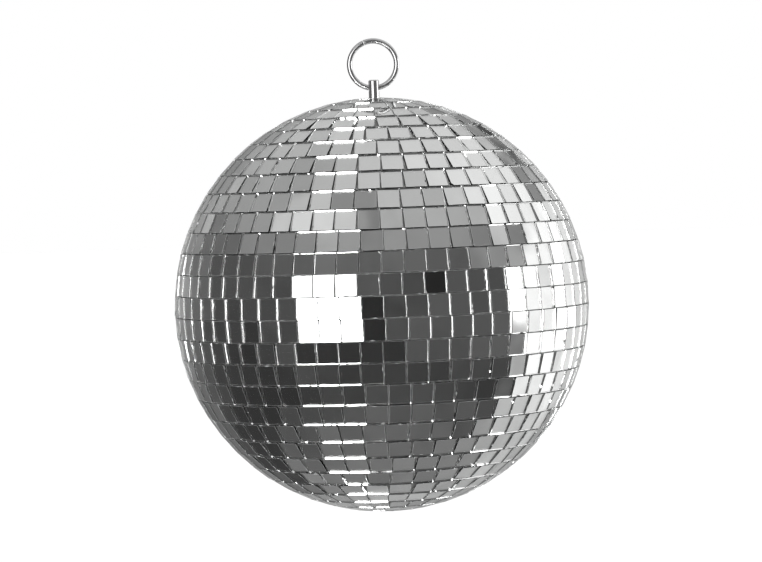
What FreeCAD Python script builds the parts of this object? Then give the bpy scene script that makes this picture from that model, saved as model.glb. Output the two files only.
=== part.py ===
import FreeCAD, Part
import math
import os
import random
import Sketcher

# A 200 mm mirror ball: a two-piece hollow core covered in rows of small glass mirrors, hung from a
# wire ring that swings in the cross hole of a steel pin.
# Millimetres. The origin is the centre of the ball, and +Z points up along the pin.

Vector = FreeCAD.Vector
Rotation = FreeCAD.Rotation

DIMENSIONS = {
    # Core
    "shell_radius": 98.2,          # outside of both plastic hemispheres
    "shell_wall": 2.0,
    "seat_height": 98.0,           # spot face at the pole, which the pin's shoulder sits on
    "boss_height": 93.0,           # flat face inside the pole, which the backing plate pulls against
    "lip_top": 5.0,                # the lower shell's lip stands this far up inside the upper shell
    "lip_foot": 10.0,              # and its thicker root reaches this far below the joint
    "lip_radius": 95.9,
    "lip_wall": 1.5,
    # Mirrors
    "tile_side": 9.9,
    "tile_thickness": 1.5,
    "glue_film": 0.05,
    "tile_gap": 0.14,              # between the backs of neighbouring tiles
    "least_tile_width": 3.0,       # no closing tile is cut narrower than this
    "row_pitch": 10.25,            # from row to row, measured on the mirror faces
    "row_start": -1.2,             # degrees: the row joint nearest the equator
    "seam_offset": -9.7,           # where each row begins and ends, along X from the mid-plane
    "seam_wander": 1.2,            # how far the seam strays from row to row
    "trim_latitude": 62.0,         # degrees: nearer the poles, tiles are cut to a taper
    "front_closing_latitude": 52.0,  # degrees: nearer the poles, rows are closed at the front
    "pin_clearance_radius": 3.2,   # the first row stops here, round the pin
    # Pin
    "pin_diameter": 5.2,
    "pin_top": 108.4,
    "pin_bottom": 84.9,
    "pin_chamfer": 0.5,
    "cross_hole_height": 104.5,
    "cross_hole_diameter": 3.4,
    # Ring
    "ring_mean_radius": 11.35,
    "ring_wire_diameter": 2.6,
    "ring_split_gap": 0.3,
    "ring_split_angle": 112.0,     # degrees up from +X: where the bent wire's ends meet
    # Fasteners inside
    "thread_diameter": 4.0,
    "thread_hole_diameter": 4.2,
    "plate_diameter": 40.0,
    "plate_thickness": 1.5,
    "washer_diameter": 12.0,
    "washer_thickness": 1.0,
    "spring_washer_diameter": 7.6,
    "spring_washer_thickness": 0.9,
    "spring_washer_slot": 0.8,
    "nut_across_flats": 7.0,
    "nut_height": 3.2,
}

TILT_SPREAD = 0.5      # degrees: how unevenly hand-laid tiles sit on the glue
TILT_LIMIT = 1.0       # degrees
SPIN_LIMIT = 0.3       # degrees: how far a tile is turned in its own plane
SHIFT_LIMIT = 0.02     # how far a tile is off its place
PAIR_TURN_SHARE = 0.3  # how near the tiles of a pair come to lying square to each other
LAYING_SEED = 21

doc = FreeCAD.newDocument("mirror_ball")


# ---------------------------------------------------------------- document helpers

def make_sheet():
    """The spreadsheet of driving dimensions, one row each: name and value."""
    sheet = doc.addObject("Spreadsheet::Sheet", "dims")
    for number, (alias, value) in enumerate(DIMENSIONS.items(), start=1):
        sheet.set(f"A{number}", alias)
        sheet.set(f"B{number}", str(value))
        sheet.setAlias(f"B{number}", alias)
    doc.recompute()
    return sheet


def evaluate(formula):
    """The present value of a formula on the sheet."""
    return float(sheet.evalExpression(formula))


def bind(target, **formulas):
    """Bind properties of an object to formulas on the sheet."""
    for name, formula in formulas.items():
        target.setExpression(name, formula)


def sketch_on(body, plane_role, name):
    """A new sketch on one of a body's own origin planes."""
    sketch = body.newObject("Sketcher::SketchObject", name)
    plane = next(part for part in body.Origin.OriginFeatures if part.Role == plane_role)
    sketch.AttachmentSupport = [(plane, "")]
    sketch.MapMode = "FlatFace"
    return sketch


def drive(sketch, constraint, formula):
    """Add one dimension whose value follows a formula on the sheet."""
    index = sketch.addConstraint(constraint)
    sketch.setExpression(f"Constraints[{index}]", formula)


def drive_coordinate(sketch, kind, geometry, point, formula):
    """Hold one coordinate of a point: kind is DistanceX or DistanceY from the sketch's origin."""
    value = evaluate(formula)
    if abs(value) < 1e-9:
        axis = -2 if kind == "DistanceX" else -1
        sketch.addConstraint(Sketcher.Constraint("PointOnObject", geometry, point, axis))
    elif value > 0:
        drive(sketch, Sketcher.Constraint(kind, -1, 1, geometry, point, value), formula)
    else:
        drive(sketch, Sketcher.Constraint(kind, geometry, point, -1, 1, -value), f"-({formula})")


def draw_outline(sketch, corners, arcs=None):
    """Draw a closed outline.

    corners: (x formula, y formula, held), where held names the coordinates that are dimensions;
    the other one follows from an arc that ends there.
    arcs: {edge number: radius formula} for edges that are arcs about the sketch's origin.
    """
    arcs = arcs or {}
    places = [Vector(evaluate(x), evaluate(y), 0) for x, y, held in corners]
    starts = {}
    ends = {}
    for edge, place in enumerate(places):
        after = places[(edge + 1) % len(places)]
        if edge in arcs:
            angles = [math.atan2(point.y, point.x) for point in (place, after)]
            circle = Part.Circle(Vector(), Vector(0, 0, 1), evaluate(arcs[edge]))
            geometry = sketch.addGeometry(Part.ArcOfCircle(circle, min(angles), max(angles)), False)
            sketch.addConstraint(Sketcher.Constraint("Coincident", geometry, 3, -1, 1))
            anticlockwise = angles[1] > angles[0]
            starts[edge] = (geometry, 1 if anticlockwise else 2)
            ends[edge] = (geometry, 2 if anticlockwise else 1)
        else:
            geometry = sketch.addGeometry(Part.LineSegment(place, after), False)
            starts[edge] = (geometry, 1)
            ends[edge] = (geometry, 2)
    for edge in starts:
        before = ends[(edge - 1) % len(places)]
        sketch.addConstraint(Sketcher.Constraint("Coincident", *before, *starts[edge]))
    for edge, formula in arcs.items():
        geometry = starts[edge][0]
        drive(sketch, Sketcher.Constraint("Radius", geometry, evaluate(formula)), formula)
    for edge, (x_formula, y_formula, held) in enumerate(corners):
        if "x" in held:
            drive_coordinate(sketch, "DistanceX", *starts[edge], x_formula)
        if "y" in held:
            drive_coordinate(sketch, "DistanceY", *starts[edge], y_formula)


def draw_circle(sketch, diameter_formula, height_formula="0"):
    """Draw a circle on the sketch's vertical axis."""
    middle = Vector(0, evaluate(height_formula), 0)
    diameter = evaluate(diameter_formula)
    geometry = sketch.addGeometry(Part.Circle(middle, Vector(0, 0, 1), diameter / 2), False)
    drive_coordinate(sketch, "DistanceX", geometry, 3, "0")
    drive_coordinate(sketch, "DistanceY", geometry, 3, height_formula)
    drive(sketch, Sketcher.Constraint("Diameter", geometry, diameter), diameter_formula)


def turned_body(name, corners, arcs=None):
    """A body turned about Z from half of its section."""
    body = doc.addObject("PartDesign::Body", name)
    section = sketch_on(body, "XZ_Plane", f"{name}_section")
    draw_outline(section, corners, arcs)
    turn = body.newObject("PartDesign::Revolution", f"{name}_turned")
    turn.Profile = section
    turn.ReferenceAxis = (section, ["V_Axis"])
    turn.Angle = 360
    section.Visibility = False
    return body


def ring_body(name, outer, inner, thickness, base_height):
    """A flat ring, such as a washer, lying at a height."""
    body = doc.addObject("PartDesign::Body", name)
    face = sketch_on(body, "XY_Plane", f"{name}_face")
    draw_circle(face, outer)
    draw_circle(face, inner)
    plate = body.newObject("PartDesign::Pad", f"{name}_plate")
    plate.Profile = face
    bind(plate, Length=thickness)
    body.setExpression("Placement.Base.z", base_height)
    return body


def require_smaller(body, previous_volume):
    """Stop if a cut removed nothing."""
    doc.recompute()
    if body.Shape.Volume >= previous_volume - 1e-6:
        raise RuntimeError(f"{body.Label}: the cut removed nothing")


# ---------------------------------------------------------------- core, pin and fasteners

def make_upper_core_shell():
    """Upper hemisphere, with a flat seat outside and a flat boss inside, round the pin's hole."""
    hole = "dims.thread_hole_diameter / 2"
    inside = "(dims.shell_radius - dims.shell_wall)"
    corners = [
        ("dims.shell_radius", "0", "y"),
        ("sqrt(dims.shell_radius ^ 2 - dims.seat_height ^ 2)", "dims.seat_height", "y"),
        (hole, "dims.seat_height", "xy"),
        (hole, "dims.boss_height", "xy"),
        (f"sqrt({inside} ^ 2 - dims.boss_height ^ 2)", "dims.boss_height", "y"),
        (inside, "0", "y"),
    ]
    return turned_body("upper_core_shell", corners, {0: "dims.shell_radius", 4: inside})


def make_lower_core_shell():
    """Lower hemisphere, with the lip that locates the upper one."""
    inside = "(dims.shell_radius - dims.shell_wall)"
    lip_inside = "dims.lip_radius - dims.lip_wall"
    corners = [
        ("dims.shell_radius", "0", "y"),
        ("0", "-dims.shell_radius", "x"),
        ("0", f"-{inside}", "x"),
        (f"sqrt({inside} ^ 2 - dims.lip_foot ^ 2)", "-dims.lip_foot", "y"),
        (lip_inside, "-dims.lip_foot + 2 * dims.lip_wall", "xy"),
        (lip_inside, "dims.lip_top", "xy"),
        ("dims.lip_radius", "dims.lip_top", "xy"),
        ("dims.lip_radius", "0", "xy"),
    ]
    return turned_body("lower_core_shell", corners, {0: "dims.shell_radius", 2: inside})


def make_hanger_pin():
    """Plated pin: shaft above a shoulder, threaded tail below, cross hole near the top."""
    shaft = "dims.pin_diameter / 2"
    thread = "dims.thread_diameter / 2"
    corners = [
        ("0", "dims.pin_bottom", "xy"),
        (f"{thread} - dims.pin_chamfer", "dims.pin_bottom", "xy"),
        (thread, "dims.pin_bottom + dims.pin_chamfer", "xy"),
        (thread, "dims.seat_height", "xy"),
        (shaft, "dims.seat_height", "xy"),
        (shaft, "dims.pin_top - dims.pin_chamfer", "xy"),
        (f"{shaft} - dims.pin_chamfer", "dims.pin_top", "xy"),
        ("0", "dims.pin_top", "xy"),
    ]
    body = turned_body("hanger_pin", corners)
    doc.recompute()
    whole_volume = body.Shape.Volume
    circle = sketch_on(body, "YZ_Plane", "cross_hole_circle")
    draw_circle(circle, "dims.cross_hole_diameter", "dims.cross_hole_height")
    hole = body.newObject("PartDesign::Pocket", "cross_hole")
    hole.Profile = circle
    hole.Midplane = True
    bind(hole, Length="2 * dims.pin_diameter")
    require_smaller(body, whole_volume)
    return body


def make_hanging_ring():
    """Ring of round wire with its two ends meeting at a small gap, standing in the XZ plane."""
    ring = doc.addObject("Part::Torus", "hanging_ring")
    split = "dims.ring_split_gap / dims.ring_mean_radius * 180 / pi"
    bind(
        ring,
        Radius1="dims.ring_mean_radius",
        Radius2="dims.ring_wire_diameter / 2",
        Angle3=f"360 - {split}",
    )
    standing = Rotation(Vector(1, 0, 0), 90)
    to_split = Rotation(Vector(0, 0, 1), evaluate("dims.ring_split_angle") + evaluate(split) / 2)
    ring.Placement = FreeCAD.Placement(Vector(), standing * to_split)
    ring.setExpression("Placement.Base.z", "dims.cross_hole_height + dims.ring_mean_radius")
    return ring


def make_spring_washer(base_height):
    """Split spring washer, pressed flat by the nut."""
    hole = "dims.thread_hole_diameter"
    thickness = "dims.spring_washer_thickness"
    body = ring_body("spring_washer", "dims.spring_washer_diameter", hole, thickness, base_height)
    doc.recompute()
    whole_volume = body.Shape.Volume
    half_slot = "dims.spring_washer_slot / 2"
    reach = "dims.spring_washer_diameter"
    slot_face = sketch_on(body, "XY_Plane", "spring_washer_slot_face")
    corners = [
        ("0", f"-{half_slot}", "xy"),
        (reach, f"-{half_slot}", "xy"),
        (reach, half_slot, "xy"),
        ("0", half_slot, "xy"),
    ]
    draw_outline(slot_face, corners)
    slot = body.newObject("PartDesign::Pocket", "spring_washer_slot")
    slot.Profile = slot_face
    slot.Midplane = True
    bind(slot, Length=f"4 * {thickness}")
    require_smaller(body, whole_volume)
    return body


def make_hex_nut(base_height):
    """Hexagon nut on the pin's tail."""
    body = doc.addObject("PartDesign::Body", "hex_nut")
    face = sketch_on(body, "XY_Plane", "hex_nut_face")
    flat = "dims.nut_across_flats / 2"
    corner = "dims.nut_across_flats / sqrt(3)"
    corners = [
        (corner, "0", "xy"),
        (f"{corner} / 2", flat, "xy"),
        (f"-{corner} / 2", flat, "xy"),
        (f"-{corner}", "0", "xy"),
        (f"-{corner} / 2", f"-{flat}", "xy"),
        (f"{corner} / 2", f"-{flat}", "xy"),
    ]
    draw_outline(face, corners)
    draw_circle(face, "dims.thread_diameter + 0.04")
    blank = body.newObject("PartDesign::Pad", "hex_nut_blank")
    blank.Profile = face
    bind(blank, Length="dims.nut_height")
    body.setExpression("Placement.Base.z", base_height)
    return body


def make_fasteners():
    """The stack under the boss, from the top down: plate, flat washer, spring washer and nut."""
    hole = "dims.thread_hole_diameter"
    plate_base = "dims.boss_height - dims.plate_thickness"
    washer_base = f"{plate_base} - dims.washer_thickness"
    spring_base = f"{washer_base} - dims.spring_washer_thickness"
    nut_base = f"{spring_base} - dims.nut_height"
    plate = ring_body("backing_plate", "dims.plate_diameter", hole, "dims.plate_thickness", plate_base)
    washer = ring_body("flat_washer", "dims.washer_diameter", hole, "dims.washer_thickness", washer_base)
    return [plate, washer, make_spring_washer(spring_base), make_hex_nut(nut_base)]


# ---------------------------------------------------------------- mirrors

def face_radius():
    """Distance of a mirror's face from the centre of the ball."""
    return back_radius() + evaluate("dims.tile_thickness")


def back_radius():
    """Distance of a mirror's back from the centre of the ball."""
    return evaluate("dims.shell_radius + dims.glue_film")


def is_tapered(latitude):
    """Whether the tiles at a latitude in degrees are cut to a taper."""
    return abs(latitude) > evaluate("dims.trim_latitude")


def pair_turn(latitude):
    """How far, in radians, each tile of a pair is turned in its own plane towards its partner.

    A full turn would make the pair's shared edges parallel.
    """
    if is_tapered(latitude):
        return 0.0
    angle = math.radians(abs(latitude))
    offset = evaluate("dims.tile_side") / 2 / (back_radius() * math.cos(angle))
    return PAIR_TURN_SHARE * math.atan(math.sin(angle) * math.tan(offset))


def joint_room(latitude):
    """Extra room at a joint between rows, because tiles are straight and turned.

    Their equator-side corners hang past the circle of latitude, and their polar corners rise.
    """
    half = evaluate("dims.tile_side") / 2
    hang = half ** 2 * abs(math.tan(math.radians(latitude))) / (2 * back_radius())
    swing = half * math.sin(pair_turn(latitude))
    return hang + swing + max(0, swing - hang)


def row_limits():
    """(low, high) latitude of each row in degrees, from the pin down to the bottom.

    Rows are laid out from the joint nearest the equator towards each pole, and each one has its
    extra room on its equator side.
    """
    pitch = evaluate("dims.row_pitch") * back_radius() / face_radius()
    start = evaluate("dims.row_start")
    pin_limit = 90 - math.degrees(evaluate("dims.pin_clearance_radius") / face_radius())
    pole_tile_limit = 90 - math.degrees(evaluate("dims.tile_side") / math.sqrt(2) / back_radius())
    upper = []
    low = start
    while low < pin_limit - 4:
        high = low + math.degrees((pitch + joint_room(low)) / back_radius())
        upper.append((low, min(high, pin_limit)))
        low = high
    lower = []
    high = start
    while True:
        low = high - math.degrees((pitch + joint_room(high)) / back_radius())
        if -low > pole_tile_limit:
            break
        lower.append((low, high))
        high = low
    return upper[::-1] + lower


def edge_radii(latitude, height):
    """Distance from the axis to a tile's polar and equator-side edges, on its back."""
    middle = back_radius() * math.cos(math.radians(latitude))
    slope = height / 2 * math.sin(math.radians(abs(latitude)))
    return middle - slope, middle + slope


def polar_corner(latitude, turn, side):
    """Longitude of a square tile's polar corner from its centre, and the corner's distance from
    the axis. side is 1 for the corner that the turn moves out, or -1 for the other one."""
    half = evaluate("dims.tile_side") / 2
    along = half * (side * math.cos(turn) + math.sin(turn))
    up = half * (math.cos(turn) - side * math.sin(turn))
    angle = math.radians(abs(latitude))
    radius = back_radius() * math.cos(angle) - up * math.sin(angle)
    return math.atan2(along, radius), radius


def paired_places(latitude):
    """(longitude, turn, width) of every tile of a row of square tiles, from 0 round to 2 pi.

    The tiles lie in pairs with a thin gap inside each pair, so most of the wedge that a circle of
    latitude leaves falls between one pair and the next. What is left over at the end is closed by a
    tile cut narrower, if there is room for one.
    """
    side = evaluate("dims.tile_side")
    turn = pair_turn(latitude)
    inner_corner, inner_radius = polar_corner(latitude, turn, -1)
    outer_corner = polar_corner(latitude, turn, 1)[0]
    gap = evaluate("dims.tile_gap") / inner_radius
    offset = gap / 2 - inner_corner
    pair = offset + outer_corner
    single = polar_corner(latitude, 0, 1)[0]
    pairs = int(2 * math.pi / (2 * pair + gap))
    spare = 2 * math.pi - pairs * (2 * pair + gap)
    # Half of the longitude that a pair or a tile takes, and the width of its tiles
    lots = [(pair, side)] * pairs
    if spare > 2 * single + gap:
        lots.append((single, side))
        spare -= 2 * single + gap
    width = 2 * edge_radii(latitude, side)[0] * math.tan((spare - gap) / 2)
    if width > evaluate("dims.least_tile_width"):
        at_front = abs(latitude) > evaluate("dims.front_closing_latitude")
        lots.insert(0 if at_front else pairs // 2, ((spare - gap) / 2, width))
        spare = 0
    step = gap + spare / len(lots)
    # Turning away from the mid-line of the pair is clockwise in the north, seen from outside.
    clockwise = -math.copysign(turn, latitude)
    places = []
    cursor = step / 2
    for half, tile_width in lots:
        middle = cursor + half
        if half == pair:
            places.append((middle - offset, -clockwise, side))
            places.append((middle + offset, clockwise, side))
        else:
            places.append((middle, 0.0, tile_width))
        cursor = middle + half + step
    return places


def tapered_places(latitude, height):
    """(longitude, turn, width) of every tile of a tapered row, with the tiles' two widths."""
    side = evaluate("dims.tile_side")
    gap = evaluate("dims.tile_gap")
    polar_radius, equator_radius = edge_radii(latitude, height)
    count = math.ceil(2 * math.pi * equator_radius / (side + 2 * gap))
    step = 2 * math.pi / count
    places = [(step * (number + 0.5), 0.0, side) for number in range(count)]
    polar_width = 2 * polar_radius * math.tan(step / 2) - gap
    equator_width = 2 * equator_radius * math.tan(step / 2) - 2 * gap
    return places, min(side, polar_width), min(side, equator_width)


def make_glass(name, bottom_width, top_width, height):
    """One flat glass tile with its back on z = 0, centred on the Z axis; +Y is up on the ball."""
    glass = doc.addObject("Part::Wedge", name)
    for end, width in (("X", bottom_width), ("X2", top_width)):
        bind(glass, **{f"{end}min": f"-({width}) / 2", f"{end}max": f"({width}) / 2"})
    bind(glass, Ymin=f"-({height}) / 2", Ymax=f"({height}) / 2")
    glass.Zmin = 0
    glass.Z2min = 0
    bind(glass, Zmax="dims.tile_thickness", Z2max="dims.tile_thickness")
    doc.recompute()
    return glass


def lay_tile(glass, longitude, latitude, turn, hand):
    """A copy of a tile glued down at a place, with the unevenness of work by hand.

    Its X is east, its Y north and its Z outwards. Angles are in radians.
    """
    outwards = Vector(
        math.cos(latitude) * math.sin(longitude),
        -math.cos(latitude) * math.cos(longitude),
        math.sin(latitude),
    )
    east = Vector(math.cos(longitude), math.sin(longitude), 0)
    rotation = Rotation(east, outwards.cross(east), outwards, "ZXY")
    spin = math.degrees(turn) + hand.uniform(-SPIN_LIMIT, SPIN_LIMIT)
    rotation = rotation * Rotation(Vector(0, 0, 1), spin)
    middle = outwards * back_radius()
    for axis in (Vector(1, 0, 0), Vector(0, 1, 0)):
        middle += rotation.multVec(axis) * hand.uniform(-SHIFT_LIMIT, SHIFT_LIMIT)
        tilt = max(-TILT_LIMIT, min(TILT_LIMIT, hand.gauss(0, TILT_SPREAD)))
        rotation = rotation * Rotation(axis, tilt)
    tile = glass.Shape.copy()
    tile.Placement = FreeCAD.Placement(middle, rotation)
    return tile


def make_row(number, low, high, square_glass, hand):
    """One row of mirrors between two latitudes in degrees."""
    name = f"mirror_row_{number:02d}"
    room = math.degrees(joint_room(min(low, high, key=abs)) / back_radius())
    latitude = (low + high) / 2
    latitude += math.copysign(room / 2, latitude)
    if is_tapered(latitude):
        band = math.radians(high - low - room) * back_radius()
        height = min(evaluate("dims.tile_side"), band - evaluate("dims.tile_gap"))
        places, polar_width, equator_width = tapered_places(latitude, height)
        widths = [equator_width, polar_width]
        if latitude < 0:
            widths.reverse()
        glass = make_glass(f"{name}_glass", *(f"{size:.3f}" for size in (*widths, height)))
    else:
        glass = square_glass
        places = paired_places(latitude)
    offset = evaluate("dims.seam_offset") + evaluate("dims.seam_wander") * math.sin(1.7 * number)
    seam = math.asin(max(-1, offset / (face_radius() * math.cos(math.radians(latitude)))))
    tiles = []
    for longitude, turn, width in places:
        laid = glass
        if width < evaluate("dims.tile_side"):
            widths = [f"{width:.3f}"] * 2
            laid = make_glass(f"{name}_closing_glass", *widths, "dims.tile_side")
        tiles.append(lay_tile(laid, seam + longitude, math.radians(latitude), turn, hand))
    row = doc.addObject("Part::Feature", name)
    row.Shape = Part.makeCompound(tiles)
    return row


def make_mirrors():
    """Every row of mirrors, and the single tile at the bottom."""
    hand = random.Random(LAYING_SEED)
    side = "dims.tile_side"
    square_glass = make_glass("square_glass", side, side, side)
    rows = [
        make_row(number, low, high, square_glass, hand)
        for number, (low, high) in enumerate(row_limits(), start=1)
    ]
    pole_tile = doc.addObject("Part::Feature", "mirror_pole_tile")
    pole_tile.Shape = lay_tile(square_glass, 0, -math.pi / 2, 0, hand)
    return rows + [pole_tile]


# ---------------------------------------------------------------- build, check and write

def check(nodes):
    """Stop if any object failed, or if any piece isn't a sound solid."""
    for item in doc.Objects:
        if "Invalid" in item.State or "Error" in item.State:
            raise RuntimeError(f"{item.Label}: {item.State}")
    for node in nodes:
        if node.Shape.isNull() or not node.Shape.isValid() or not node.Shape.Solids:
            raise RuntimeError(f"{node.Label}: not a valid solid")


def write(nodes):
    """Write each piece to its own file."""
    os.makedirs("parts", exist_ok=True)
    for node in nodes:
        node.Shape.exportStep(f"parts/{node.Label}.step")


sheet = make_sheet()
pieces = [make_upper_core_shell(), make_lower_core_shell(), make_hanger_pin(), make_hanging_ring()]
pieces += make_fasteners()
pieces += make_mirrors()
doc.recompute()
check(pieces)
write(pieces)
print(f"{len(pieces)} nodes, {sum(len(piece.Shape.Solids) for piece in pieces)} solids")
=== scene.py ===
import math

import bpy
import numpy as np
from mathutils import Matrix, Vector


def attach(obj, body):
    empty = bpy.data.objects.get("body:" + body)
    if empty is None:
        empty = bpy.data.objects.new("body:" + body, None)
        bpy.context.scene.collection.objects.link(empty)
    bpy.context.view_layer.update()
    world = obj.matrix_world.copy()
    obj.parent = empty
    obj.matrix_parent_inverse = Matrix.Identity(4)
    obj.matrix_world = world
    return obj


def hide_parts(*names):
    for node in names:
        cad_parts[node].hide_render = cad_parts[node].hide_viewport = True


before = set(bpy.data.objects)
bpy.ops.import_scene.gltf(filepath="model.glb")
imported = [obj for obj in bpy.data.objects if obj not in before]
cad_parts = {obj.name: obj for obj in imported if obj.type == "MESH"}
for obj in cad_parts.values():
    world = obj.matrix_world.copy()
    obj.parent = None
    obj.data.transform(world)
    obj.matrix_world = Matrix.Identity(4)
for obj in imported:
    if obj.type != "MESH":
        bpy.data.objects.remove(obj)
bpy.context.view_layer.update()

# Looks of the mirror ball. Metres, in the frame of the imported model: the origin is the centre of
# the ball, +Z is up along the pin and -Y is the front.
# Each mirror is built as what it is: a slab of clear cut glass with silver on its back, so that its
# edges gather light the way glass edges do.

MM = 0.001
MICROMETRE = 1e-6
RNG = np.random.default_rng(11)

# Mirrors
SIDE_POINTS = 9                # points along one cut side of a tile
POINT_JITTER = 0.25            # share of their spacing that those points are moved by
CORNER_CUT = (0.05, 0.28)      # mm: how far a tile's corners are broken off
BREAK_CHANCE = 0.015           # share of corners that lost a larger flake
BREAK_CUT = (0.5, 1.3)         # mm
SIDE_INSET = (0.0, 0.02)       # mm: how far a side lies inside the tile's full size
SLANT_CHANCE = 0.25            # share of sides that broke at a slant
SLANT_INSET = 0.08             # mm: how much farther in a slanted side's front or back edge lies
ROW_SIDE_RISE = 0.3            # a side that rises less than this share of its length lies along the row
ARRIS_INSET = (0.02, 0.08)     # mm: the frosted edge left by the cutting wheel, on those sides
SIDE_ARRIS_INSET = (0.03, 0.12)  # mm: the same on the sides between tiles of a row
ARRIS_DEPTH = 0.06             # mm
EDGE_SPREAD = (0.5, 1.2)       # factor on the width of that edge, and of its chips, at each point
CHIP_CHANCE = 0.04             # share of points where the front or the back edge is chipped
CHIP_INSET = (0.10, 0.42)      # mm, at the front
CHIP_DEPTH = (0.15, 0.55)      # mm
BACK_CHIP_INSET = (0.05, 0.3)  # mm
WAVE_HEIGHT = 0.008            # mm: how far a side wanders from straight
WAVE_TURNS = (0.5, 1.6)        # waves in one side
GLASS_THICKNESS = 1.15         # mm: the rest of a tile is its backing
BACKING_INSET = 0.12           # mm
BACKING_CLEARANCE = 0.01       # mm between silver and backing
GLASS, CUT_GLASS, SILVER, FROSTED_EDGE, BACKING = range(5)
GLASS_IOR = 1.52

# Ring and pin, mm
RING_CENTRE = 115.85
RING_RADIUS = 11.35
WIRE_RADIUS = 1.3
RING_GAP = 0.16
RING_GAP_ANGLE = 112.0         # degrees up from +X
RING_END_ROUND = 0.12
RING_END_SHARES = (0.94, 0.98, 1.0)  # wire thickness at its end, a third in and past the rounding
RING_STEPS = 192
WIRE_STEPS = 36
PIN_STEPS = 96
PIN_PROFILE = [
    (0.0, 84.9), (1.6, 84.9), (2.0, 85.3), (2.0, 98.0), (2.45, 98.0), (2.6, 98.15), (2.6, 107.9),
    (2.1, 108.4), (0.0, 108.4),
]
PIN_HOLE_HEIGHT = 104.5
PIN_HOLE_RADIUS = 1.7
DRILL_REACH = 4.0              # to each side of the pin's axis
PIN_EDGE_ROUND = 0.12
PIN_EDGE_STEPS = 3
SHARP_ANGLE = 35.0             # degrees: edges bent more than this stay sharp

# Studio, as seen in the mirrors: directions in degrees, azimuth from -Y towards +X
# Each side of the room is (elevation, brightness) from straight down to straight up.
FRONT_SIDE = [
    (-90, 0.17), (-72, 0.13), (-55, 0.10), (-46, 0.06), (-35, 0.045), (-24, 0.09), (-10, 0.09),
    (12, 0.075), (24, 0.11), (29, 0.17), (35, 0.28), (45, 0.42), (58, 0.50), (90, 0.59),
]
LEFT_SIDE = [
    (-90, 0.17), (-75, 0.16), (-60, 0.11), (-45, 0.06), (-25, 0.035), (-5, 0.045), (12, 0.08),
    (22, 0.13), (32, 0.28), (45, 0.36), (62, 0.34), (90, 0.58),
]
RIGHT_SIDE = [
    (-90, 0.19), (-65, 0.21), (-50, 0.40), (-38, 0.68), (-28, 1.10), (20, 1.20), (32, 0.90),
    (45, 0.88), (58, 0.76), (90, 0.60),
]
FAR_LEFT_SIDE = [
    (-90, 0.19), (-60, 0.20), (-45, 0.30), (-30, 0.11), (-15, 0.20), (0, 0.50), (12, 0.36),
    (20, 0.33), (30, 0.46), (42, 0.60), (90, 0.60),
]
FAR_RIGHT_SIDE = [
    (-90, 0.19), (-62, 0.22), (-48, 0.44), (-30, 0.43), (-15, 0.48), (0, 0.60), (25, 0.44),
    (42, 0.60), (90, 0.60),
]
# Azimuths between which one side turns into the next
FRONT_TO_LEFT = (-50, -80)
LEFT_TO_FAR_LEFT = (-100, -175)
FAR_LEFT_TO_FAR_RIGHT = (-160, -179)
FRONT_TO_RIGHT = (76, 94)
FRONT_TO_RIGHT_LEAN = 0.2      # degrees sideways for each degree up
RIGHT_TO_FAR_RIGHT = (110, 165)
# Patches that differ from their side: (left, right, low, high), softness of the outline, how far
# the patch climbs for each degree sideways, and brightness. Clutter lies over the wall patches,
# and the dark patches lie over the clutter.
WALL_PATCHES = [
    ((-152, -129, 12, 30), 3.0, 0.0, 0.46),
    ((-75, -25, 38, 55), 5.0, 0.0, 0.70),
    ((-50, -8, 57, 66), 2.5, 0.0, 0.27),
    ((-7, 7, 37, 54), 2.0, 0.0, 0.23),
    ((60, 103, 17, 28), 2.5, 0.0, 0.24),
]
DARK_PATCHES = [
    ((130, 172, 21, 31), 2.0, 0.0, 0.28),
    ((142, 171, 26.4, 30.8), 1.2, -0.37, 0.03),
    ((-158, -62, -47, -28), 3.0, 0.0, 0.028),
    ((-52, 10, -27, -19), 2.0, 0.0, 0.03),
    ((-8, 9, -20, 6), 1.5, 0.0, 0.02),
    ((28, 39, 9, 18), 1.5, 0.0, 0.015),
]
CLUTTER_BELOW = 0.35           # how strong the clutter is low down and near the ceiling
CLUTTER_ABOVE = 0.12
CLUTTER_FADE = (15, 45)        # elevations
SOFT_BOX = (-48, -9, -17, 20)
SOFT_BOX_LOWER = (-48, -9, -17, 10)
SOFT_BOX_EDGE = 1.0
SOFT_BOX_LEVEL = 2.2
SOFT_BOX_LOWER_LEVEL = 20.0   # for light that comes out of the mirrors' glass
SIDE_LIGHT = (73, 88, -8, 13)
SIDE_LIGHT_EDGE = 2.0
SIDE_LIGHT_LEVEL = 4.0
STRIP = (-1.3, 1.3, -30, 30)   # a narrow light straight ahead, seen only through the mirrors' glass
STRIP_EDGE = 0.3
STRIP_LEVEL = 6.0
LEAST_LEVEL_IN_METAL = 0.14    # what bounces off plating, or off the face of a glass, is no darker
DIFFUSE_LEVEL = 1.25           # what lights matt surfaces, the same from all directions
BACKDROP_LEVEL = 1.0

# Camera and floor, metres and degrees
CAMERA_DISTANCE = 1.4
CAMERA_ELEVATION = 2.0
CAMERA_ROLL = 2.1
CAMERA_AIM_HEIGHT = 0.0113
CAMERA_LENS = 136.8            # mm
SENSOR_WIDTH = 36.0            # mm
CAMERA_CLIP = (0.05, 100.0)
FLOOR_HEIGHT = -0.60
FLOOR_SIZE = 60.0


# ---------------------------------------------------------------- node tree helpers

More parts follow.
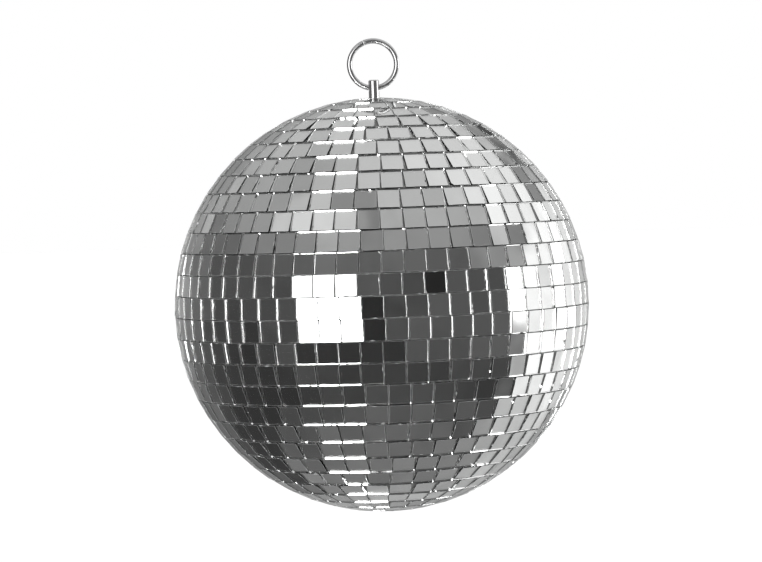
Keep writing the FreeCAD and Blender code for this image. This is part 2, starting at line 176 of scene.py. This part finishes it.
class Tree:
    """Short forms for building a shader node tree."""

    def __init__(self, tree):
        self.tree = tree
        tree.nodes.clear()

    def add(self, kind, **settings):
        """A new node with some of its properties set."""
        node = self.tree.nodes.new(kind)
        for name, value in settings.items():
            setattr(node, name, value)
        return node

    def link(self, source, target):
        """Join an output to an input."""
        self.tree.links.new(source, target)

    def feed(self, socket, value):
        """Set a socket to a number or colour, or link it to another socket."""
        if isinstance(value, bpy.types.NodeSocket):
            self.link(value, socket)
        else:
            socket.default_value = value

    def math(self, operation, *values, clamp=False):
        """The result of a sum with numbers or sockets."""
        node = self.add("ShaderNodeMath", operation=operation, use_clamp=clamp)
        for socket, value in zip(node.inputs, values):
            self.feed(socket, value)
        return node.outputs[0]

    def step(self, value, low, high, start=0.0, end=1.0):
        """A smooth step from start, where value is low, to end, where it is high."""
        node = self.add("ShaderNodeMapRange", interpolation_type="SMOOTHSTEP")
        for socket, number in zip(node.inputs, (value, low, high, start, end)):
            self.feed(socket, number)
        return node.outputs[0]

    def blend(self, share, first, second):
        """A number between first and second."""
        node = self.add("ShaderNodeMix", data_type="FLOAT")
        for socket, value in zip(node.inputs[:1] + node.inputs[2:4], (share, first, second)):
            self.feed(socket, value)
        return node.outputs[0]

    def noise(self, coordinates, scale, detail=3.0, roughness=0.5):
        """Noise between 0 and 1."""
        node = self.add("ShaderNodeTexNoise")
        self.link(coordinates, node.inputs["Vector"])
        node.inputs["Scale"].default_value = scale
        node.inputs["Detail"].default_value = detail
        node.inputs["Roughness"].default_value = roughness
        return node.outputs["Fac"]

    def shade(self, value, first, second):
        """A colour that goes from first to second as value goes from 0 to 1."""
        ramp = self.add("ShaderNodeValToRGB")
        for element, colour in zip(ramp.color_ramp.elements, (first, second)):
            element.color = (*colour, 1)
        self.link(value, ramp.inputs["Fac"])
        return ramp.outputs["Color"]


def new_material(name):
    """A material with its tree, its Principled shader and object coordinates."""
    made = bpy.data.materials.new(name)
    made.use_nodes = True
    tree = Tree(made.node_tree)
    shader = tree.add("ShaderNodeBsdfPrincipled")
    output = tree.add("ShaderNodeOutputMaterial")
    tree.link(shader.outputs[0], output.inputs["Surface"])
    coordinates = tree.add("ShaderNodeTexCoord").outputs["Object"]
    return made, tree, shader, coordinates


def add_bump(tree, shader, height, strength, distance):
    """Feed a height through a Bump node to the shader's normal."""
    bump = tree.add("ShaderNodeBump")
    bump.inputs["Strength"].default_value = strength
    bump.inputs["Distance"].default_value = distance
    tree.link(height, bump.inputs["Height"])
    tree.link(bump.outputs[0], shader.inputs["Normal"])


# ---------------------------------------------------------------- materials

def make_glass():
    """Polished face of the mirror glass, with faint smears left by handling."""
    made, tree, shader, place = new_material("mirror_face_glass")
    shader.inputs["Base Color"].default_value = (0.985, 0.99, 0.988, 1)
    shader.inputs["Transmission Weight"].default_value = 1.0
    shader.inputs["IOR"].default_value = GLASS_IOR
    smear = tree.noise(place, scale=90.0, detail=4.0, roughness=0.6)
    tree.link(tree.step(smear, 0.45, 0.75, start=0.0, end=0.045), shader.inputs["Roughness"])
    return made


def make_cut_glass():
    """Snapped sides of the glass: nearly smooth, with fine hackle marks from the cut."""
    made, tree, shader, place = new_material("mirror_cut_glass")
    shader.inputs["Base Color"].default_value = (0.97, 0.985, 0.98, 1)
    shader.inputs["Transmission Weight"].default_value = 1.0
    shader.inputs["IOR"].default_value = GLASS_IOR
    hackle = tree.noise(place, scale=2600.0, detail=3.0, roughness=0.6)
    tree.link(tree.step(hackle, 0.3, 0.8, start=0.02, end=0.12), shader.inputs["Roughness"])
    add_bump(tree, shader, hackle, strength=0.25, distance=0.00004)
    return made


def make_silver():
    """Silver layer behind the glass, with slight unevenness."""
    made, tree, shader, place = new_material("mirror_silver")
    tint = tree.noise(place, scale=40.0, detail=2.0)
    silver = tree.shade(tint, (0.90, 0.905, 0.90), (0.95, 0.95, 0.945))
    tree.link(silver, shader.inputs["Base Color"])
    shader.inputs["Metallic"].default_value = 1.0
    haze = tree.noise(place, scale=700.0)
    tree.link(tree.step(haze, 0.5, 0.8, start=0.015, end=0.05), shader.inputs["Roughness"])
    waviness = tree.noise(place, scale=45.0, detail=1.0)
    add_bump(tree, shader, waviness, strength=1.0, distance=0.0001)
    return made


def make_frosted_edge():
    """The whitish, finely crushed edge that the cutting wheel leaves on the glass."""
    made, tree, shader, place = new_material("mirror_frosted_edge")
    crush = tree.noise(place, scale=1800.0, detail=3.0, roughness=0.7)
    white = tree.shade(crush, (0.42, 0.43, 0.43), (0.86, 0.87, 0.87))
    tree.link(white, shader.inputs["Base Color"])
    shader.inputs["Transmission Weight"].default_value = 0.35
    shader.inputs["IOR"].default_value = GLASS_IOR
    tree.link(tree.step(crush, 0.3, 0.7, start=0.15, end=0.55), shader.inputs["Roughness"])
    add_bump(tree, shader, crush, strength=0.6, distance=0.00006)
    return made


def make_backing():
    """Grey protective paint and glue behind the silver."""
    made, tree, shader, place = new_material("mirror_backing")
    patch = tree.noise(place, scale=420.0, detail=4.0, roughness=0.6)
    grey = tree.shade(patch, (0.22, 0.22, 0.225), (0.46, 0.46, 0.45))
    tree.link(grey, shader.inputs["Base Color"])
    tree.link(tree.step(patch, 0.3, 0.7, start=0.45, end=0.75), shader.inputs["Roughness"])
    add_bump(tree, shader, patch, strength=0.4, distance=0.0001)
    return made


def make_core_plastic():
    """Black moulded core under a thin uneven film of glue."""
    made, tree, shader, place = new_material("core_plastic")
    glue = tree.noise(place, scale=260.0, detail=4.0, roughness=0.6)
    film = tree.shade(glue, (0.10, 0.10, 0.102), (0.42, 0.42, 0.41))
    tree.link(film, shader.inputs["Base Color"])
    tree.link(tree.step(glue, 0.35, 0.7, start=0.25, end=0.6), shader.inputs["Roughness"])
    add_bump(tree, shader, glue, strength=0.5, distance=0.0002)
    return made


def make_chrome():
    """Bright plating with fine handling scratches and slight dulling."""
    made, tree, shader, place = new_material("bright_chrome")
    dull = tree.noise(place, scale=180.0, detail=4.0, roughness=0.6)
    plating = tree.shade(dull, (0.66, 0.66, 0.665), (0.86, 0.86, 0.86))
    tree.link(plating, shader.inputs["Base Color"])
    shader.inputs["Metallic"].default_value = 1.0
    tree.link(tree.step(dull, 0.35, 0.75, start=0.09, end=0.2), shader.inputs["Roughness"])
    scratch = tree.noise(place, scale=2200.0, detail=2.0)
    add_bump(tree, shader, scratch, strength=0.03, distance=0.00002)
    return made


def make_zinc():
    """Zinc-plated steel of the hidden fasteners."""
    made, tree, shader, place = new_material("zinc_plate")
    spangle = tree.noise(place, scale=500.0)
    plating = tree.shade(spangle, (0.42, 0.43, 0.45), (0.62, 0.62, 0.61))
    tree.link(plating, shader.inputs["Base Color"])
    shader.inputs["Metallic"].default_value = 1.0
    tree.link(tree.step(spangle, 0.3, 0.7, start=0.28, end=0.45), shader.inputs["Roughness"])
    return made


def make_floor_material():
    """Pale matt studio floor."""
    made, tree, shader, place = new_material("studio_floor")
    mottle = tree.noise(place, scale=3.0)
    pale = tree.shade(mottle, (0.90, 0.90, 0.90), (0.94, 0.94, 0.94))
    tree.link(pale, shader.inputs["Base Color"])
    shader.inputs["Roughness"].default_value = 0.9
    shader.inputs["Specular IOR Level"].default_value = 0.1
    return made


# ---------------------------------------------------------------- mirrors

def tiles_of(node):
    """The corners of each tile of a CAD row: (outward normal, four front corners, four back ones).

    The corners go round anticlockwise as seen from outside.
    """
    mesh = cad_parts[node].data
    places = np.array([vertex.co for vertex in mesh.vertices], float)
    steps = np.round(places / MICROMETRE).astype(int)
    unique, index = np.unique(steps, axis=0, return_inverse=True)
    index = index.ravel()
    parent = list(range(len(unique)))

    def root(item):
        """The corner that stands for all the corners joined to this one."""
        while parent[item] != item:
            parent[item] = parent[parent[item]]
            item = parent[item]
        return item

    for face in mesh.polygons:
        first = root(index[face.vertices[0]])
        for vertex in face.vertices[1:]:
            parent[root(index[vertex])] = first
    groups = {}
    for item in range(len(unique)):
        groups.setdefault(root(item), []).append(item)
    tiles = []
    for members in groups.values():
        corners = unique[members] * MICROMETRE
        middle = corners.mean(0)
        normal = np.linalg.svd(corners - middle)[2][-1]
        normal *= np.sign(normal @ middle)
        height = (corners - middle) @ normal
        east = np.cross([0, 0, 1], normal)
        if np.linalg.norm(east) < 0.1:  # the tile at the very bottom has no east
            east = np.array([1.0, 0, 0])
        east -= (east @ normal) * normal
        east /= np.linalg.norm(east)
        north = np.cross(normal, east)
        faces = []
        for side in (corners[height > 0], corners[height < 0]):
            angle = np.arctan2((side - middle) @ north, (side - middle) @ east)
            faces.append(side[np.argsort(angle)])
        tiles.append((normal, *faces))
    tiles.sort(key=lambda tile: math.atan2(tile[1].mean(0)[1], tile[1].mean(0)[0]))
    return tiles


def edge_ring(corners, inward, distances, insets):
    """Points round a tile.

    Distances are shares of each side's length, and insets are how far in from the side they lie.
    """
    points = []
    for side in range(4):
        start = corners[side]
        along = corners[(side + 1) % 4] - start
        length = np.linalg.norm(along)
        along /= length
        reach = distances[side] * length
        points.append(start + reach[:, None] * along + insets[side][:, None] * inward[side])
    return np.concatenate(points)


def tile_slab(normal, front):
    """Three rings of points (front edge, just below it, back edge) of one cut glass tile."""
    inward = []
    for side in range(4):
        along = front[(side + 1) % 4] - front[side]
        across = np.cross(normal, along)
        inward.append(across / np.linalg.norm(across))
    cuts = RNG.uniform(*CORNER_CUT, 4) * MM
    broken = RNG.random(4) < BREAK_CHANCE
    cuts[broken] = RNG.uniform(*BREAK_CUT, broken.sum()) * MM
    sides = [np.linalg.norm(front[(side + 1) % 4] - front[side]) for side in range(4)]
    distances = []
    front_insets = []
    arris_insets = []
    back_insets = []
    depths = []
    for side in range(4):
        ends = (cuts[side] / sides[side], 1 - cuts[(side + 1) % 4] / sides[side])
        spread = np.linspace(*ends, SIDE_POINTS)
        jitter = RNG.uniform(-POINT_JITTER, POINT_JITTER, SIDE_POINTS - 2)
        spread[1:-1] += jitter / SIDE_POINTS * (ends[1] - ends[0])
        distances.append(spread)
        phase = RNG.uniform(0, 2 * math.pi)
        turns = RNG.uniform(*WAVE_TURNS)
        wave = WAVE_HEIGHT * np.sin(phase + turns * 2 * math.pi * spread)
        slant = RNG.uniform(-SLANT_INSET, SLANT_INSET) * (RNG.random() < SLANT_CHANCE)
        inset = RNG.uniform(*SIDE_INSET) + wave
        skin = inset + max(slant, 0)
        chipped = RNG.random(SIDE_POINTS) < CHIP_CHANCE
        rise = abs((front[(side + 1) % 4] - front[side])[2])
        along_row = rise < ROW_SIDE_RISE * sides[side]
        arris = RNG.uniform(*(ARRIS_INSET if along_row else SIDE_ARRIS_INSET))
        chip_inset = np.where(chipped, RNG.uniform(*CHIP_INSET, SIDE_POINTS), arris)
        chip_depth = np.where(chipped, RNG.uniform(*CHIP_DEPTH, SIDE_POINTS), ARRIS_DEPTH)
        chip_inset = chip_inset * RNG.uniform(*EDGE_SPREAD, SIDE_POINTS)
        foot = inset - min(slant, 0)
        chipped_behind = RNG.random(SIDE_POINTS) < CHIP_CHANCE
        back_chip = np.where(chipped_behind, RNG.uniform(*BACK_CHIP_INSET, SIDE_POINTS), 0)
        share = chip_depth / GLASS_THICKNESS
        front_insets.append((skin + chip_inset) * MM)
        arris_insets.append((skin * (1 - share) + foot * share) * MM)
        back_insets.append((foot + back_chip) * MM)
        depths.append(chip_depth * MM)
    depth = np.concatenate(depths)
    top = edge_ring(front, inward, distances, front_insets)
    below = edge_ring(front, inward, distances, arris_insets) - depth[:, None] * normal
    foot = edge_ring(front, inward, distances, back_insets) - GLASS_THICKNESS * MM * normal
    return top, below, foot


def backing_block(normal, front, back):
    """Eight corners of the block of paint and glue between the silver and the core."""
    middle = back.mean(0)
    shrink = 1 - BACKING_INSET * MM / np.linalg.norm(back - middle, axis=1).mean()
    foot = middle + (back - middle) * shrink
    height = (front.mean(0) - middle) @ normal - (GLASS_THICKNESS + BACKING_CLEARANCE) * MM
    return np.concatenate((foot, foot + height * normal))


def build_row(node, materials):
    """One piece for a row of mirrors: each a closed slab of silvered glass on its backing."""
    vertices = []
    faces = []
    slots = []
    for normal, front, back in tiles_of(node):
        top, below, foot = tile_slab(normal, front)
        count = len(top)
        base = len(vertices)
        vertices.extend(np.concatenate((top, below, foot)).tolist())
        faces.append([base + point for point in range(count)])
        slots.append(GLASS)
        for ring in range(2):
            for point in range(count):
                after = (point + 1) % count
                low = base + (ring + 1) * count
                high = base + ring * count
                faces.append([low + point, low + after, high + after, high + point])
                slots.append(FROSTED_EDGE if ring == 0 else CUT_GLASS)
        faces.append([base + 2 * count + point for point in reversed(range(count))])
        slots.append(SILVER)
        base = len(vertices)
        vertices.extend(backing_block(normal, front, back).tolist())
        block = [(3, 2, 1, 0), (4, 5, 6, 7)]
        block += [(side, (side + 1) % 4, (side + 1) % 4 + 4, side + 4) for side in range(4)]
        faces.extend([[base + corner for corner in face] for face in block])
        slots.extend([BACKING] * len(block))
    mesh = bpy.data.meshes.new(f"{node}_glass")
    mesh.from_pydata(vertices, [], faces)
    for material in materials:
        mesh.materials.append(material)
    mesh.polygons.foreach_set("material_index", slots)
    mesh.update()
    piece = bpy.data.objects.new(f"{node}_glass", mesh)
    bpy.context.scene.collection.objects.link(piece)
    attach(piece, "ball")
    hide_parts(node)


# ---------------------------------------------------------------- ring and pin

def add_piece(name, vertices, faces, body, node, material):
    """A smooth-shaded piece that rides a body and takes the place of a CAD node."""
    mesh = bpy.data.meshes.new(name)
    mesh.from_pydata(vertices, [], faces)
    mesh.materials.append(material)
    mesh.polygons.foreach_set("use_smooth", [True] * len(mesh.polygons))
    mesh.set_sharp_from_angle(angle=math.radians(SHARP_ANGLE))
    piece = bpy.data.objects.new(name, mesh)
    bpy.context.scene.collection.objects.link(piece)
    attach(piece, body)
    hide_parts(node)
    return piece


def make_ring(material):
    """Ring of round wire whose two slightly rounded ends meet at a small gap."""
    half_gap = RING_GAP / 2 / RING_RADIUS
    start = math.radians(RING_GAP_ANGLE) + half_gap
    stop = math.radians(RING_GAP_ANGLE) + 2 * math.pi - half_gap
    round_angle = RING_END_ROUND / RING_RADIUS
    rounding = list(zip((0, round_angle / 3, round_angle), RING_END_SHARES))
    stations = [(start + reach, share) for reach, share in rounding]
    middle = np.linspace(start + round_angle, stop - round_angle, RING_STEPS)
    stations += [(angle, 1.0) for angle in middle[1:-1]]
    stations += [(stop - reach, share) for reach, share in reversed(rounding)]
    vertices = []
    for angle, share in stations:
        for step in range(WIRE_STEPS):
            around = 2 * math.pi * step / WIRE_STEPS
            reach = RING_RADIUS + share * WIRE_RADIUS * math.cos(around)
            height = RING_CENTRE + reach * math.sin(angle)
            depth = share * WIRE_RADIUS * math.sin(around)
            vertices.append((reach * math.cos(angle) * MM, depth * MM, height * MM))
    faces = []
    for station in range(len(stations) - 1):
        for step in range(WIRE_STEPS):
            here = station * WIRE_STEPS
            after = (step + 1) % WIRE_STEPS
            ahead = here + WIRE_STEPS
            faces.append((here + step, ahead + step, ahead + after, here + after))
    last = (len(stations) - 1) * WIRE_STEPS
    faces.append(list(range(WIRE_STEPS)))
    faces.append([last + step for step in reversed(range(WIRE_STEPS))])
    add_piece("ring_wire", vertices, faces, "ring", "hanging_ring", material)


def turned(profile, steps):
    """Vertices and faces of a solid turned about Z from (radius, height) points in mm."""
    vertices = [(0, 0, profile[0][1] * MM)]
    for radius, height in profile[1:-1]:
        for step in range(steps):
            angle = 2 * math.pi * step / steps
            across = radius * math.cos(angle)
            away = radius * math.sin(angle)
            vertices.append((across * MM, away * MM, height * MM))
    vertices.append((0, 0, profile[-1][1] * MM))
    top = len(vertices) - 1
    rings = len(profile) - 2
    faces = []
    for step in range(steps):
        after = (step + 1) % steps
        faces.append((0, 1 + after, 1 + step))
        for ring in range(rings - 1):
            low = 1 + ring * steps
            high = low + steps
            faces.append((low + step, low + after, high + after, high + step))
        last = 1 + (rings - 1) * steps
        faces.append((last + step, last + after, top))
    return vertices, faces


def make_pin(material):
    """The pin, with its cross hole drilled through and its edges slightly rounded."""
    pin = add_piece("pin_body", *turned(PIN_PROFILE, PIN_STEPS), "ball", "hanger_pin", material)
    drill_profile = [
        (0, -DRILL_REACH), (PIN_HOLE_RADIUS, -DRILL_REACH), (PIN_HOLE_RADIUS, DRILL_REACH),
        (0, DRILL_REACH),
    ]
    vertices, faces = turned(drill_profile, PIN_STEPS)
    lift = PIN_HOLE_HEIGHT * MM
    mesh = bpy.data.meshes.new("drill")
    mesh.from_pydata([(z, y, lift - x) for x, y, z in vertices], [], faces)
    drill = bpy.data.objects.new("drill", mesh)
    bpy.context.scene.collection.objects.link(drill)
    cut = pin.modifiers.new("cross_hole", "BOOLEAN")
    cut.object = drill
    cut.solver = "EXACT"
    seen = pin.evaluated_get(bpy.context.evaluated_depsgraph_get())
    pin.data = bpy.data.meshes.new_from_object(seen)
    pin.modifiers.remove(cut)
    bpy.data.objects.remove(drill)
    pin.data.polygons.foreach_set("use_smooth", [True] * len(pin.data.polygons))
    edge = pin.modifiers.new("rounded_edges", "BEVEL")
    edge.width = PIN_EDGE_ROUND * MM
    edge.segments = PIN_EDGE_STEPS
    edge.angle_limit = math.radians(SHARP_ANGLE)
    edge.use_clamp_overlap = True
    edge.harden_normals = True


# ---------------------------------------------------------------- studio

def room_side(tree, height_share, stops):
    """How bright one side of the room is from the floor to the ceiling."""
    ramp = tree.add("ShaderNodeValToRGB")
    elements = ramp.color_ramp.elements
    while len(elements) < len(stops):
        elements.new(0.5)
    for element, (angle, level) in zip(elements, stops):
        element.position = (angle + 90) / 180
        element.color = (level, level, level, 1)
    tree.link(height_share, ramp.inputs["Fac"])
    grey = tree.add("ShaderNodeRGBToBW")
    tree.link(ramp.outputs["Color"], grey.inputs[0])
    return grey.outputs[0]


def make_studio():
    """What the mirrors see: a room by direction, and how each kind of ray sees it.

    The room is dark in front and to the left, with a bright wall to the right and a pale ceiling,
    one soft box, a smaller light to the right and a few darker places.
    """
    world = bpy.data.worlds.new("studio")
    bpy.context.scene.world = world
    world.use_nodes = True
    tree = Tree(world.node_tree)
    direction = tree.add("ShaderNodeTexCoord").outputs["Generated"]
    split = tree.add("ShaderNodeSeparateXYZ")
    tree.link(direction, split.inputs[0])
    east, away, up = split.outputs
    degree = 180 / math.pi
    toward = tree.math("MULTIPLY", away, -1.0)
    azimuth = tree.math("MULTIPLY", tree.math("ARCTAN2", east, toward), degree)
    elevation = tree.math("MULTIPLY", tree.math("ARCSINE", up), degree)
    height_share = tree.math("MULTIPLY_ADD", elevation, 1 / 180, 0.5)
    rays = tree.add("ShaderNodeLightPath")
    through_glass = rays.outputs["Is Transmission Ray"]

    def window(place, soft, climb=0.0):
        """A soft-edged patch of directions; climb is how far it rises for each degree sideways."""
        left, right, low, high = place
        along = tree.math("SUBTRACT", azimuth, left)
        height = tree.math("MULTIPLY_ADD", along, -climb, elevation)
        share = tree.step(azimuth, left - soft, left + soft)
        for value, start, end in (
            (azimuth, right + soft, right - soft),
            (height, low - soft, low + soft),
            (height, high + soft, high - soft),
        ):
            share = tree.math("MULTIPLY", share, tree.step(value, start, end))
        return share

    def add_patches(level, patches):
        """The room's brightness with patches laid over it, one after the other."""
        for place, soft, climb, brightness in patches:
            level = tree.blend(window(place, soft, climb), level, brightness)
        return level

    front = room_side(tree, height_share, FRONT_SIDE)
    left = room_side(tree, height_share, LEFT_SIDE)
    right = room_side(tree, height_share, RIGHT_SIDE)
    far_left = room_side(tree, height_share, FAR_LEFT_SIDE)
    far_right = room_side(tree, height_share, FAR_RIGHT_SIDE)
    level = tree.blend(tree.step(azimuth, *FRONT_TO_LEFT), front, left)
    far_level = tree.blend(tree.step(azimuth, *FAR_LEFT_TO_FAR_RIGHT), far_left, far_right)
    level = tree.blend(tree.step(azimuth, *LEFT_TO_FAR_LEFT), level, far_level)
    leaning = tree.math("MULTIPLY_ADD", elevation, FRONT_TO_RIGHT_LEAN, azimuth)
    level = tree.blend(tree.step(leaning, *FRONT_TO_RIGHT), level, right)
    level = tree.blend(tree.step(azimuth, *RIGHT_TO_FAR_RIGHT), level, far_right)
    level = add_patches(level, WALL_PATCHES)

    clutter = tree.noise(direction, scale=4.5, detail=4.0, roughness=0.65)
    strength = tree.blend(tree.step(elevation, *CLUTTER_FADE), CLUTTER_BELOW, CLUTTER_ABOVE)
    clutter = tree.math("MULTIPLY", tree.step(clutter, 0.25, 0.75, start=-1.0, end=1.0), strength)
    level = tree.math("MULTIPLY_ADD", clutter, level, level)
    level = add_patches(level, DARK_PATCHES)

    level = tree.blend(window(SOFT_BOX, SOFT_BOX_EDGE), level, SOFT_BOX_LEVEL)
    lower = tree.math("MULTIPLY", window(SOFT_BOX_LOWER, SOFT_BOX_EDGE), through_glass)
    level = tree.blend(lower, level, SOFT_BOX_LOWER_LEVEL)
    level = tree.blend(window(SIDE_LIGHT, SIDE_LIGHT_EDGE), level, SIDE_LIGHT_LEVEL)
    off_metal = tree.math("SUBTRACT", rays.outputs["Is Glossy Ray"], through_glass, clamp=True)
    level = tree.math("MAXIMUM", level, tree.math("MULTIPLY", off_metal, LEAST_LEVEL_IN_METAL))
    strip = tree.math("MULTIPLY", window(STRIP, STRIP_EDGE), through_glass)
    level = tree.blend(strip, level, STRIP_LEVEL)
    level = tree.blend(rays.outputs["Is Diffuse Ray"], level, DIFFUSE_LEVEL)
    level = tree.blend(rays.outputs["Is Camera Ray"], level, BACKDROP_LEVEL)
    background = tree.add("ShaderNodeBackground")
    tree.link(level, background.inputs["Color"])
    output = tree.add("ShaderNodeOutputWorld")
    tree.link(background.outputs[0], output.inputs["Surface"])


def make_floor():
    """A wide pale floor under the hanging ball."""
    half = FLOOR_SIZE / 2
    corners = [(-half, -half), (half, -half), (half, half), (-half, half)]
    mesh = bpy.data.meshes.new("floor")
    mesh.from_pydata([(x, y, FLOOR_HEIGHT) for x, y in corners], [], [(0, 1, 2, 3)])
    mesh.materials.append(make_floor_material())
    floor = bpy.data.objects.new("floor", mesh)
    bpy.context.scene.collection.objects.link(floor)
    floor.visible_glossy = False
    floor.visible_transmission = False


def make_camera():
    """A long lens on the ball, a little above its middle and slightly rolled."""
    data = bpy.data.cameras.new("camera")
    data.lens = CAMERA_LENS
    data.sensor_width = SENSOR_WIDTH
    data.clip_start, data.clip_end = CAMERA_CLIP
    camera = bpy.data.objects.new("camera", data)
    bpy.context.scene.collection.objects.link(camera)
    lift = math.radians(CAMERA_ELEVATION)
    back = Vector((0, -math.cos(lift), math.sin(lift)))
    turn = (-back).to_track_quat("-Z", "Y").to_matrix().to_4x4()
    roll = Matrix.Rotation(math.radians(-CAMERA_ROLL), 4, "Z")
    aim = Vector((0, 0, CAMERA_AIM_HEIGHT))
    camera.matrix_world = Matrix.Translation(aim + back * CAMERA_DISTANCE) @ turn @ roll
    bpy.context.scene.camera = camera


# ---------------------------------------------------------------- build

def paint(nodes, material):
    """Give CAD nodes one material."""
    for name in nodes:
        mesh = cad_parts[name].data
        mesh.materials.clear()
        mesh.materials.append(material)


bpy.context.scene.view_settings.view_transform = "Standard"
make_studio()
make_floor()
make_camera()
mirror_materials = [
    make_glass(), make_cut_glass(), make_silver(), make_frosted_edge(), make_backing(),
]
for name in sorted(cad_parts):
    if name.startswith("mirror_"):
        build_row(name, mirror_materials)
paint(["upper_core_shell", "lower_core_shell"], make_core_plastic())
chrome = make_chrome()
make_ring(chrome)
make_pin(chrome)
paint(["backing_plate", "flat_washer", "spring_washer", "hex_nut"], make_zinc())
